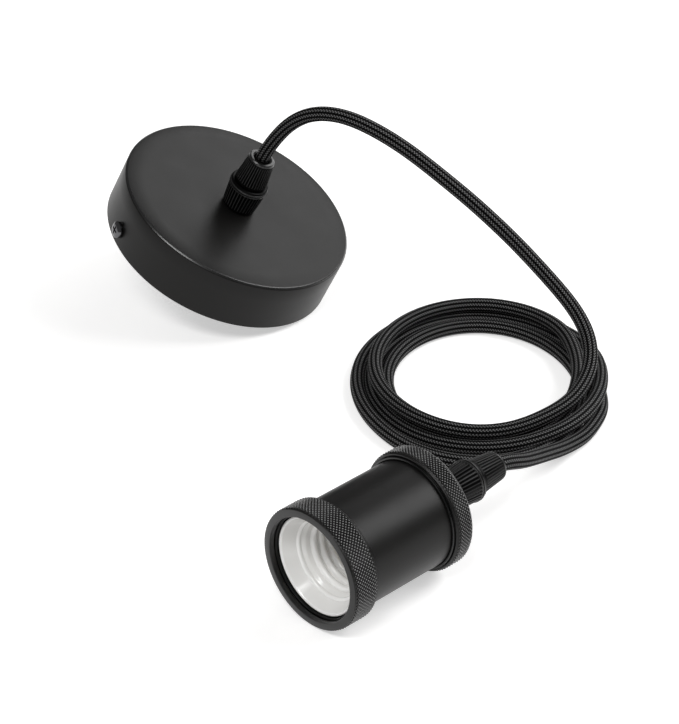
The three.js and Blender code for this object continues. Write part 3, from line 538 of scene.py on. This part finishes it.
rows = math_node("MULTIPLY", split.outputs["Y"], BRAID_ROWS)
in_row = math_node("FRACT", rows)
broad_ridge = math_node("SINE", math_node("MULTIPLY", in_row, math.pi))
half_rows = math_node("MULTIPLY", rows, 2)
in_half = math_node("FRACT", half_rows)
fine_ridge = math_node("SINE", math_node("MULTIPLY", in_half, math.pi))
odd_half = math_node("MODULO", math_node("FLOOR", half_rows), 2)
lean = spread_value(braid, odd_half, -STITCH_SLANT, STITCH_SLANT)
slanted = math_node("MULTIPLY", in_half, lean)
along = math_node("MULTIPLY", split.outputs["X"], STITCHES_ALONG)
slanted_wave = math_node("SINE", math_node("MULTIPLY", math_node("ADD", along, slanted), math.pi))
stitch = math_node("ABSOLUTE", slanted_wave)
half_ridge = spread_value(braid, fine_ridge, 0.35, 1.0)
ridge = math_node("MULTIPLY", math_node("POWER", broad_ridge, 3), half_ridge)
crown = math_node("MULTIPLY", ridge, math_node("POWER", stitch, 2.4))
# Painted highlight on the crowns and painted shade in the grooves: base colour and specular tint follow the
# crown mask.
thread_highlight_and_shade = mixed_colour(braid, GROOVE_PAINTED_SHADE, CROWN_PAINTED_HIGHLIGHT, math_node("POWER", crown, 2))
links.new(thread_highlight_and_shade.outputs[2], braid_shader.inputs["Base Color"])
links.new(spread_value(braid, crown, 0.9, 0.2), braid_shader.inputs["Roughness"])
thread_shine_with_shade = mixed_colour(braid, GROOVE_SHADED_SHINE, CROWN_SHINE, crown)
links.new(thread_shine_with_shade.outputs[2], braid_shader.inputs["Specular Tint"])
thread_height = math_node("MULTIPLY", ridge, spread_value(braid, stitch, 0.3, 1.0))
give_bump(braid, thread_height, STITCH_BUMP)
cord.data.materials.append(braid)
print("rows round the cord:", BRAID_ROWS)

# %% [markdown]
# ## Turned pieces
# Canopy, ring, shell and cap are all turned parts. We start with a circle and draw its edge out from
# step to step, up by a translation and in or out by a resize about the axis. A profile that ends
# where it began is closed by merging its two edges, and the normals are then turned outwards. One that
# begins and ends at the axis is closed by merging the points there. Every profile is a list of steps,
# each with its radius and its height in millimetres.
# %% Helpers: start a circle, draw it out, settle the piece
EDGE_MERGE = 0.002


def start_circle(name, radius, height, sides):
    bpy.ops.object.select_all(action="DESELECT")
    bpy.ops.mesh.primitive_circle_add(vertices=sides, radius=radius * MM, location=(0, 0, height * MM))
    made = bpy.context.object
    made.name = made.data.name = name
    bpy.ops.object.transform_apply(location=True, rotation=True, scale=True)
    bpy.ops.object.mode_set(mode="EDIT")
    bpy.ops.mesh.select_mode(type="VERT")
    bpy.ops.mesh.select_all(action="SELECT")
    return made


def draw_out(profile):
    for (radius, height), (wider, higher) in zip(profile, profile[1:]):
        bpy.ops.mesh.extrude_edges_move(TRANSFORM_OT_translate={"value": (0, 0, (higher - height) * MM)})
        share = wider / radius
        bpy.ops.transform.resize(value=(share, share, 1), center_override=(0, 0, higher * MM))


def close_up(merge):
    bpy.ops.mesh.select_all(action="SELECT")
    bpy.ops.mesh.remove_doubles(threshold=merge * MM)
    bpy.ops.mesh.normals_make_consistent(inside=False)


def turned_piece(name, profile, sides):
    made = start_circle(name, *profile[0], sides)
    draw_out(profile + [profile[0]])
    close_up(EDGE_MERGE)
    return made


def solid_piece(name, profile, sides, merge):
    made = start_circle(name, *profile[0], sides)
    draw_out(profile)
    close_up(merge)
    return made


def settle(made, place, look, slot, *nodes_replaced, crease=30):
    if bpy.context.object.mode == "EDIT":
        bpy.ops.object.mode_set(mode="OBJECT")
    bpy.ops.object.select_all(action="DESELECT")
    made.select_set(True)
    bpy.context.view_layer.objects.active = made
    made.matrix_world = place
    bpy.ops.object.transform_apply(location=True, rotation=True, scale=True)
    bpy.ops.object.shade_smooth_by_angle(angle=math.radians(crease))
    made.data.materials.clear()
    made.data.materials.append(look)
    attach(made, "root")
    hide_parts(*nodes_replaced)
    print(made.name, "faces:", len(made.data.polygons))


# %% Helper: a second finish on the faces between two heights and two radii
def second_look(made, look, place, heights, radii):
    made.data.materials.append(look)
    upright = place.inverted()
    count = 0
    for face in made.data.polygons:
        middle = upright @ face.center / MM
        radius = math.hypot(middle.x, middle.y)
        if heights[0] < middle.z < heights[1] and radii[0] < radius < radii[1]:
            face.material_index = len(made.data.materials) - 1
            count += 1
    print(made.name, "faces with", look.name + ":", count)


# %% [markdown]
# ## Canopy
# The canopy is a shallow cup of thin sheet with a small rounded edge, where a thin line of light
# runs. Two holes in its wall take the side screws. They are cut with a boolean modifier, because a
# round hole in a curved wall can't be drawn out from a ring.
# %% Helper: cut with a tool piece
def cut_with(made, tool):
    made.select_set(True)
    bpy.context.view_layer.objects.active = made
    cutter = made.modifiers.new("cut", "BOOLEAN")
    cutter.operation = "DIFFERENCE"
    cutter.solver = "EXACT"
    cutter.object = tool
    bpy.ops.object.modifier_apply(modifier=cutter.name)
    bpy.data.objects.remove(tool)


# %% Canopy cup
SIDE_SCREW_ANGLE = math.radians(48)
SIDE_SCREW_HEIGHT = 6.0
SIDE_HOLE_RADIUS = 2.15
HOLE_CUTTER_LENGTH = 110

canopy_profile = [
    (49.0, 0.0), (49.85, 0.0), (50.0, 0.15), (50.0, 8.0), (50.0, 15.0), (50.0, 21.75), (49.93, 21.98),
    (49.8, 22.16), (49.36, 22.6), (49.18, 22.73), (48.95, 22.8), (42.0, 22.8), (30.0, 22.8),
    (18.0, 22.8), (9.0, 22.8), (5.25, 22.8), (5.25, 21.8), (30.0, 21.8), (49.0, 21.8),
]
canopy_cup = turned_piece("canopy_cup_fine", canopy_profile, 192)
bpy.ops.object.mode_set(mode="OBJECT")
bpy.ops.object.select_all(action="DESELECT")
bpy.ops.mesh.primitive_cylinder_add(
    vertices=32, radius=SIDE_HOLE_RADIUS * MM, depth=HOLE_CUTTER_LENGTH * MM,
    location=(0, 0, SIDE_SCREW_HEIGHT * MM), rotation=(0, math.pi / 2, SIDE_SCREW_ANGLE),
)
screw_hole = bpy.context.object
bpy.ops.object.select_all(action="DESELECT")
cut_with(canopy_cup, screw_hole)
settle(canopy_cup, CANOPY_PLACE, satin_black, "black_paint", "canopy_cup")
second_look(canopy_cup, edge_black, CANOPY_PLACE, (22.1, 22.78), (49.0, 49.98))

# %% [markdown]
# ## Cord grips
# A grip has a ribbed collar and a ribbed cap that is screwed into it. We model one of each upright,
# sink every fourth column of points, which cuts a groove beside each rib, and copy both for
# the holder. The copies have meshes of their own. The collar's bead and the cap's rim catch a thin
# line of light, so they get the burnished finish.
# %% Helper: ribs from columns of points
RIBS = 36
RIB_COLUMNS = 4


def sink_columns(made, low, high, least, depth):
    drawn = bmesh.from_edit_mesh(made.data)
    crest_value = drawn.verts.layers.float.new("crest")
    for point in drawn.verts:
        radius = math.hypot(point.co.x, point.co.y) / MM
        turn = math.atan2(point.co.y, point.co.x) / (2 * math.pi) * RIBS * RIB_COLUMNS
        column = round(turn) % RIB_COLUMNS
        on_ribs = low < point.co.z / MM < high and radius > least
        point[crest_value] = 1.0 if on_ribs and column == RIB_COLUMNS // 2 else 0.0
        point.select = on_ribs and column == 0
    drawn.select_flush_mode()
    bmesh.update_edit_mesh(made.data)
    share = (least + 1 - depth) / (least + 1)
    bpy.ops.transform.resize(value=(share, share, 1), center_override=(0, 0, 0))


# %% Grip body with its threaded shank
SHANK_TURNS = 14
SHANK_PITCH = 0.5

shank_threads = []
for turn in range(SHANK_TURNS):
    shank_threads += [(4.95, -7.4 + turn * SHANK_PITCH), (4.65, -7.15 + turn * SHANK_PITCH)]
body_profile = [(3.35, -7.5)] + shank_threads + [
    (4.95, -0.3), (4.95, 0.0), (6.7, 0.0), (7.0, 0.15), (7.2, 0.5), (7.25, 0.9), (7.32, 1.4), (7.9, 7.0),
    (8.1, 10.1), (8.3, 10.3), (8.4, 10.55), (8.3, 10.8), (8.0, 10.9), (8.0, 11.2), (8.3, 11.3), (8.42, 11.55),
    (8.35, 11.8), (8.1, 12.0), (8.05, 12.5), (7.9, 12.85), (7.6, 13.0), (6.3, 13.0), (6.3, 2.0), (3.35, 2.0),
]
grip_body = turned_piece("canopy_grip_body_fine", body_profile, RIBS * RIB_COLUMNS)
sink_columns(grip_body, 1.0, 10.2, 7.2, 0.36)
bpy.ops.object.mode_set(mode="OBJECT")
print("collar with", RIBS, "ribs")

# %% Grip cap
cap_profile = [
    (3.35, 8.5), (6.0, 8.5), (6.0, 13.3), (6.7, 13.3), (6.9, 13.5), (6.9, 14.2), (6.85, 14.6), (6.75, 15.6),
    (6.2, 20.5), (5.8, 24.4), (5.68, 25.2), (5.5, 25.8), (5.1, 26.2), (4.6, 26.3), (4.2, 26.25),
    (3.6, 25.9), (3.35, 25.4),
]
grip_cap = turned_piece("canopy_grip_cap_fine", cap_profile, RIBS * RIB_COLUMNS)
sink_columns(grip_cap, 14.4, 25.0, 5.7, 0.32)
bpy.ops.object.mode_set(mode="OBJECT")


def copied(made, name):
    bpy.ops.object.select_all(action="DESELECT")
    made.select_set(True)
    bpy.context.view_layer.objects.active = made
    bpy.ops.object.duplicate(linked=False)
    twin = bpy.context.object
    twin.name = twin.data.name = name
    return twin


holder_body = copied(grip_body, "holder_grip_body_fine")
holder_grip_cap = copied(grip_cap, "holder_grip_cap_fine")
canopy_grip_place = CANOPY_PLACE @ Matrix.Translation((0, 0, CANOPY_GRIP_AT * MM))
holder_grip_place = HOLDER_PLACE @ Matrix.Translation((0, 0, HOLDER_GRIP_AT * MM))
grips = [
    (canopy_grip_place, grip_body, "canopy_grip_body", grip_cap, "canopy_grip_cap"),
    (holder_grip_place, holder_body, "holder_grip_body", holder_grip_cap, "holder_grip_cap"),
]
for place, body, body_node, cap, cap_node in grips:
    settle(body, place, grip_black, "grip_black", body_node, crease=20)
    settle(cap, place, grip_black, "grip_black", cap_node, crease=20)
    second_look(body, edge_black, place, (10.15, 12.05), (7.95, 8.5))
    second_look(cap, edge_black, place, (25.2, 26.4), (3.3, 5.8))

# %% [markdown]
# ## Knurled ring and rear cap
# A diamond knurl is a field of small pyramids pressed in by a roller. The band of the turned piece is
# drawn out in many low rows. Every second point, shifted by one from row to row, is then raised
# outwards, and each four-sided face is split along its low corners, which leaves pyramids. Inside the
# band's radius the metal is smooth. The rows at a band's ends are painted over, or they would glint as
# one long line.
# %% Helper: raise the knurl
KNURL_COLUMNS = 192
KNURL_ROW = 0.73
KNURL_HEIGHT = 0.4
BAND_RADIUS = 22.95
SMOOTH_RADII = (0, 22.94)


def knurl_rows(low, high):
    rows = round((high - low) / KNURL_ROW / 2) * 2
    return [(BAND_RADIUS, low + (high - low) * i / rows) for i in range(rows + 1)]


def select_crests(made, rows):
    drawn = bmesh.from_edit_mesh(made.data)
    crest_value = drawn.verts.layers.float.new("crest")
    low = rows[0][1]
    row_height = rows[1][1] - low
    for point in drawn.verts:
        out = math.hypot(point.co.x, point.co.y) / MM
        row = round((point.co.z / MM - low) / row_height)
        turn = round(math.atan2(point.co.y, point.co.x) / (2 * math.pi) * KNURL_COLUMNS)
        on_band = 0 < row < len(rows) - 1 and abs(out - BAND_RADIUS) < 0.01
        point.select = on_band and (row + turn) % 2 == 0
        point[crest_value] = 1.0 if point.select else 0.0
    drawn.select_flush_mode()
    bmesh.update_edit_mesh(made.data)


def select_band(made, rows):
    drawn = bmesh.from_edit_mesh(made.data)
    for face in drawn.faces:
        middle = face.calc_center_median()
        out = math.hypot(middle.x, middle.y) / MM
        face.select = rows[0][1] < middle.z / MM < rows[-1][1] and out > BAND_RADIUS - 0.1
    bmesh.update_edit_mesh(made.data)


def raise_knurl(made, rows):
    select_crests(made, rows)
    share = (BAND_RADIUS + KNURL_HEIGHT) / BAND_RADIUS
    bpy.ops.transform.resize(value=(share, share, 1), center_override=(0, 0, 0))
    select_band(made, rows)
    bpy.ops.mesh.quads_convert_to_tris(quad_method="SHORTEST_DIAGONAL", ngon_method="BEAUTY")


# %% Front ring
ring_rows = knurl_rows(0.45, 10.7)
ring_profile = [(20.3, 0.0), (22.6, 0.0), (22.82, 0.08), (22.93, 0.25)] + ring_rows + [
    (22.85, 10.8), (22.5, 11.1), (22.1, 11.5), (21.8, 11.8), (21.6, 11.95), (21.4, 12.0), (21.1, 12.0),
    (21.1, 2.0), (20.0, 2.0), (20.0, 0.3), (20.08, 0.1),
]
front_ring = turned_piece("front_ring_fine", ring_profile, KNURL_COLUMNS)
raise_knurl(front_ring, ring_rows)
settle(front_ring, HOLDER_PLACE, knurled_black, "knurled_black", "shade_ring", crease=22)
second_look(front_ring, smooth_black, HOLDER_PLACE, (-1, 13), SMOOTH_RADII)
second_look(front_ring, satin_black, HOLDER_PLACE, (9.95, 11), (22.8, 24))
second_look(front_ring, satin_black, HOLDER_PLACE, (0, 1.2), (22.8, 24))

# %% Rear cap with its bead and domed neck
cap_rows = knurl_rows(50.95, 57.6)
rear_profile = [
    (21.1, 49.3), (21.4, 49.3), (21.65, 49.4), (21.75, 49.62), (21.65, 49.85), (21.4, 49.95),
    (21.45, 50.3), (21.9, 50.2), (22.35, 50.1), (22.65, 50.2), (22.8, 50.42), (22.75, 50.7),
] + cap_rows + [
    (22.85, 57.75), (22.6, 58.1), (22.2, 58.4), (21.5, 58.65), (20.5, 58.7), (13.2, 58.7), (12.6, 60.5),
    (11.8, 63.35), (10.6, 66.0), (9.3, 67.7), (8.8, 68.0), (5.25, 68.0), (5.25, 65.8), (7.0, 65.8),
    (11.0, 56.7), (21.1, 56.7),
]
rear_cap = turned_piece("rear_cap_fine", rear_profile, KNURL_COLUMNS)
raise_knurl(rear_cap, cap_rows)
settle(rear_cap, HOLDER_PLACE, knurled_black, "knurled_black", "rear_cap", crease=22)
second_look(rear_cap, smooth_black, HOLDER_PLACE, (49, 69), SMOOTH_RADII)
second_look(rear_cap, satin_black, HOLDER_PLACE, (50, 51.7), (22.7, 24))

# %% Shell tube
shell_profile = [
    (19.4, 2.4), (19.5, 2.3), (20.7, 2.3), (20.8, 2.4), (20.8, 20.0), (20.8, 38.0), (20.8, 56.3),
    (20.7, 56.4), (19.5, 56.4), (19.4, 56.3),
]
shell = turned_piece("holder_shell_fine", shell_profile, 160)
settle(shell, HOLDER_PLACE, satin_black, "black_paint", "holder_shell")

# %% [markdown]
# ## White socket
# The socket has a flared mouth, a step and a round-ridged thread for the bulb. The body is
# drawn out as before. The ridge is a small circle that a screw modifier winds four times along the
# bore, and the window for the contacts is cut through the floor. The rim, the step and the crowns of
# the thread get a glossier glaze, and its whiter colour there is a painted highlight.
# %% Socket body with its window
BORE_RADIUS = 13.5
WINDOW_SIZE = (26, 9, 5)
WINDOW_HEIGHT = 34.5

socket_profile = [
    (0.01, 33.0), (BORE_RADIUS, 33.0), (BORE_RADIUS, 20.0), (BORE_RADIUS, 11.4), (13.7, 11.0),
    (14.2, 10.5), (14.55, 10.0), (14.5, 9.5), (14.55, 9.1), (14.75, 8.75), (15.1, 8.55), (15.45, 8.5),
    (15.6, 8.2), (16.3, 6.8), (17.9, 3.9), (18.05, 3.6), (18.3, 3.36), (18.6, 3.3), (18.9, 3.4),
    (19.05, 3.6), (19.1, 3.9), (19.1, 20.0), (19.1, 35.8), (18.9, 36.0), (0.01, 36.0),
]
socket = solid_piece("socket_fine", socket_profile, 96, 0.05)
bpy.ops.object.mode_set(mode="OBJECT")
bpy.ops.object.select_all(action="DESELECT")
window_scale = [side * MM for side in WINDOW_SIZE]
bpy.ops.mesh.primitive_cube_add(size=1, location=(0, 0, WINDOW_HEIGHT * MM), scale=window_scale)
window = bpy.context.object
bpy.ops.object.select_all(action="DESELECT")
cut_with(socket, window)
print("socket body faces:", len(socket.data.polygons))

# %% Round thread ridge
THREAD_PITCH = 3.63
THREAD_TURNS = 4
THREAD_START = 12.9
RIDGE_RADIUS = 1.35
STEPS_PER_TURN = 56

bpy.ops.object.select_all(action="DESELECT")
bpy.ops.mesh.primitive_circle_add(
    vertices=14, radius=RIDGE_RADIUS * MM, location=(BORE_RADIUS * MM, 0, THREAD_START * MM),
    rotation=(math.pi / 2, 0, 0), fill_type="NGON",
)
ridge = bpy.context.object
ridge.name = ridge.data.name = "socket_ridge"
bpy.ops.object.transform_apply(location=True, rotation=True, scale=True)
bpy.ops.object.mode_set(mode="EDIT")
bpy.ops.mesh.delete(type="ONLY_FACE")
bpy.ops.object.mode_set(mode="OBJECT")
winding = ridge.modifiers.new("winding", "SCREW")
winding.angle = 2 * math.pi
winding.screw_offset = THREAD_PITCH * MM
winding.iterations = THREAD_TURNS
winding.steps = winding.render_steps = STEPS_PER_TURN
bpy.ops.object.modifier_apply(modifier="winding")
bpy.ops.object.mode_set(mode="EDIT")
bpy.ops.mesh.select_mode(type="EDGE")
bpy.ops.mesh.select_all(action="DESELECT")
bpy.ops.mesh.select_non_manifold()
bpy.ops.mesh.fill_holes(sides=20)
bpy.ops.mesh.select_all(action="SELECT")
bpy.ops.mesh.normals_make_consistent(inside=False)
bpy.ops.object.mode_set(mode="OBJECT")
bpy.ops.object.select_all(action="DESELECT")
ridge.select_set(True)
socket.select_set(True)
bpy.context.view_layer.objects.active = socket
bpy.ops.object.join()
settle(socket, HOLDER_PLACE, white_ceramic, "white_socket", "socket_insert", crease=35)
# Painted highlight: a whiter, glossier glaze on the rim, the step and the crowns of the thread.
second_look(socket, painted_glaze_highlight, HOLDER_PLACE, (3.2, 3.8), (17.9, 19.2))
second_look(socket, painted_glaze_highlight, HOLDER_PLACE, (8.4, 9.0), (14.6, 15.7))
second_look(socket, painted_glaze_highlight, HOLDER_PLACE, (10.5, 32.0), (12.0, 13.2))

# %% [markdown]
# ## Side screws
# Two screws, plated with dark zinc, have a cross recess and hold the canopy on its bracket. One is
# modelled about its own axis with a domed head, the cross is cut by two thin blocks, and the copy is
# turned to the other side of the canopy.
# %% Screw with a cross recess
SCREW_TURNS = 11
SCREW_PITCH = 0.7
SCREW_TOP = 1.9
SCREW_SEAT = 50.3
CROSS_LENGTH = 3.9
CROSS_WIDTH = 0.8

screw_profile = [(0.01, -9.5), (1.4, -9.5), (1.85, -9.0)]
for turn in range(SCREW_TURNS):
    screw_profile += [(1.85, -8.8 + turn * SCREW_PITCH), (1.5, -8.45 + turn * SCREW_PITCH)]
screw_profile += [
    (1.85, -0.6), (1.85, 0.0), (3.35, 0.0), (3.5, 0.15), (3.5, 0.8), (3.35, 1.25), (2.9, 1.6), (2.1, 1.82),
    (1.0, SCREW_TOP), (0.01, SCREW_TOP),
]
side_screw = solid_piece("side_screw_b_fine", screw_profile, 32, 0.03)
bpy.ops.object.mode_set(mode="OBJECT")
for long, wide in ((CROSS_LENGTH, CROSS_WIDTH), (CROSS_WIDTH, CROSS_LENGTH)):
    bpy.ops.object.select_all(action="DESELECT")
    blade_scale = (long * MM, wide * MM, 2 * MM)
    bpy.ops.mesh.primitive_cube_add(size=1, location=(0, 0, SCREW_TOP * MM), scale=blade_scale)
    blade = bpy.context.object
    bpy.ops.object.select_all(action="DESELECT")
    cut_with(side_screw, blade)
other_screw = copied(side_screw, "side_screw_a_fine")


def screw_place(side):
    outwards = Matrix.Rotation(SIDE_SCREW_ANGLE + (math.pi if side < 0 else 0), 4, "Z")
    seat = Matrix.Translation((SCREW_SEAT * MM, 0, SIDE_SCREW_HEIGHT * MM))
    return CANOPY_PLACE @ outwards @ seat @ Matrix.Rotation(math.pi / 2, 4, "Y")


settle(side_screw, screw_place(-1), dark_zinc, "steel", "side_screw_b")
settle(other_screw, screw_place(1), dark_zinc, "steel", "side_screw_a")

# %% [markdown]
# ## Parts that stay as measured
# The parts inside the canopy and the holder are hardly seen, so their measured solids stay, and each
# gets the finish that the real part has. The list pairs words with a finish, and the first pair with a
# word that is in the part's name decides.
# %% Finishes for the inner parts
INNER_LOOKS = [
    (("contact_base",), white_ceramic),
    (("terminal_pole", "earth_lug", "contact"), bright_brass),
    (("screw", "bracket", "washer", "nut"), zinc_steel),
    (("terminal_block",), clear_block),
    (("grip_sleeve",), rubber_black),
    (("wire_line",), wire_looks["line"]),
    (("wire_neutral",), wire_looks["neutral"]),
    (("wire_earth",), wire_looks["earth"]),
]


def inner_look(name):
    for words, look in INNER_LOOKS:
        if any(word in name for word in words):
            return look
    return satin_black


for name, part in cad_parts.items():
    part.data.materials.clear()
    part.data.materials.append(inner_look(name))
print("measured parts dressed:", len(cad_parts))
